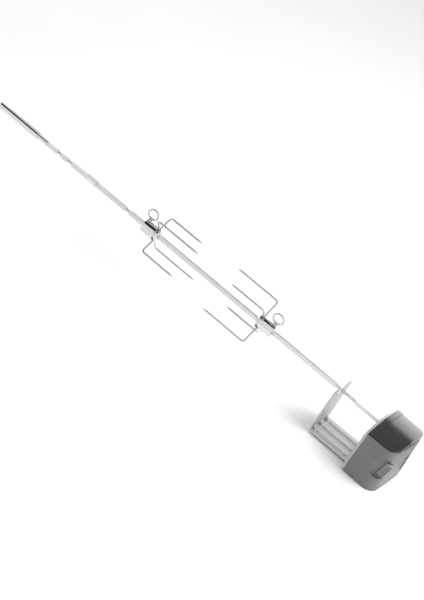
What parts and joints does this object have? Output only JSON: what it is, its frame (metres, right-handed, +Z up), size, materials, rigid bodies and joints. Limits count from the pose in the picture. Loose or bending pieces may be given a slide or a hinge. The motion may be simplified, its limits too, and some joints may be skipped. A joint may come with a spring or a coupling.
{
  "type": "rotisserie spit roaster",
  "caption": "Motor-driven rotisserie spit: a geared motor in a housing turns a square bar with two sliding meat forks, a support bracket and a tube handle.",
  "frame": {"origin": "spit axis where it passes the outer face of the steel back plate", "axes": "+Z up, X along the spit with the motor on +X and the handle on -X, switch side on -Y"},
  "size_m": [1.0811, 0.1401, 0.1359],
  "materials": {
    "chrome": "polished",
    "bar_steel": "drawn, satin",
    "sheet_steel": "zinc plated, satin",
    "fastener_steel": "zinc plated",
    "dark_steel": "black oxide",
    "body_plastic": "fine texture",
    "cover_plastic": "gloss",
    "rocker_plastic": "satin",
    "black_plastic": "satin",
    "bronze": "sintered",
    "gear_plastic": "natural",
    "gear_brass": "machined",
    "core_steel": "laminated",
    "copper": "enamelled wire",
    "lead_sleeve": "satin"
  },
  "bodies": {
    "housing": {"bracket": "sheet_steel", "bracket_screws": "fastener_steel", "bracket_nuts": "fastener_steel", "back_plate": "sheet_steel", "housing_screws": "fastener_steel", "housing_body": "body_plastic", "top_cover": "cover_plastic", "switch_case": "black_plastic", "power_inlet": "black_plastic", "inlet_pins": "gear_brass", "end_badge": "black_plastic", "front_bushing": "bronze", "rear_bushing": "bronze", "gear_frame": "sheet_steel", "gear_posts": "fastener_steel", "gear_pins": "fastener_steel", "rotor_bushings": "bronze", "stator_can": "sheet_steel", "stator_coil": "copper", "lead_wires": "lead_sleeve"},
    "drive": {"drive_socket": "bar_steel", "output_gear": "gear_brass"},
    "second_wheel": {"second_gear": "gear_plastic"},
    "first_wheel": {"first_gear": "gear_plastic"},
    "motor_rotor": {"rotor": "core_steel"},
    "rocker": {"switch_rocker": "rocker_plastic"},
    "spit": {"spit_bar": "bar_steel", "handle_tube": "chrome", "handle_ferrule": "chrome", "stop_collar": "chrome", "collar_set_screw": "dark_steel"},
    "outer_fork": {"outer_fork_hub": "chrome", "outer_fork_prongs": "chrome"},
    "outer_screw": {"outer_fork_screw": "chrome"},
    "inner_fork": {"inner_fork_hub": "chrome", "inner_fork_prongs": "chrome"},
    "inner_screw": {"inner_fork_screw": "chrome"}
  },
  "joints": [
    {"name": "drive_spin", "type": "hinge", "parent": "housing", "child": "drive", "pos_m": [0, 0, 0], "axis": [1, 0, 0], "continuous": true},
    {"name": "second_spin", "type": "hinge", "parent": "housing", "child": "second_wheel", "pos_m": [0, 0, -0.0152], "axis": [1, 0, 0], "continuous": true},
    {"name": "first_spin", "type": "hinge", "parent": "housing", "child": "first_wheel", "pos_m": [0, 0.01025, -0.02545], "axis": [1, 0, 0], "continuous": true},
    {"name": "rotor_spin", "type": "hinge", "parent": "housing", "child": "motor_rotor", "pos_m": [0, 0, -0.03571], "axis": [1, 0, 0], "continuous": true},
    {"name": "spit_pull", "type": "slide", "parent": "drive", "child": "spit", "axis": [-1, 0, 0], "range_m": [0, 0.03]},
    {"name": "outer_fork_slide", "type": "slide", "parent": "spit", "child": "outer_fork", "axis": [1, 0, 0], "range_m": [-0.1, 0.03]},
    {"name": "inner_fork_slide", "type": "slide", "parent": "spit", "child": "inner_fork", "axis": [1, 0, 0], "range_m": [-0.03, 0.12]},
    {"name": "outer_screw_turn", "type": "hinge", "parent": "outer_fork", "child": "outer_screw", "pos_m": [-0.597, 0, 0], "axis": [0, 0, 1], "range_deg": [-180, 180]},
    {"name": "inner_screw_turn", "type": "hinge", "parent": "inner_fork", "child": "inner_screw", "pos_m": [-0.2714, 0, 0], "axis": [0, 0, 1], "range_deg": [-180, 180]},
    {"name": "rocker_tilt", "type": "hinge", "parent": "housing", "child": "rocker", "pos_m": [0.064, -0.05077, -0.04081], "axis": [0.1763, 0.1102, 0.9781], "range_deg": [-6, 6]}
  ],
  "couplings": [
    {"joint": "second_spin", "follows": "drive_spin", "ratio": -2.8},
    {"joint": "first_spin", "follows": "drive_spin", "ratio": 13.44},
    {"joint": "rotor_spin", "follows": "drive_spin", "ratio": -64.512}
  ]
}
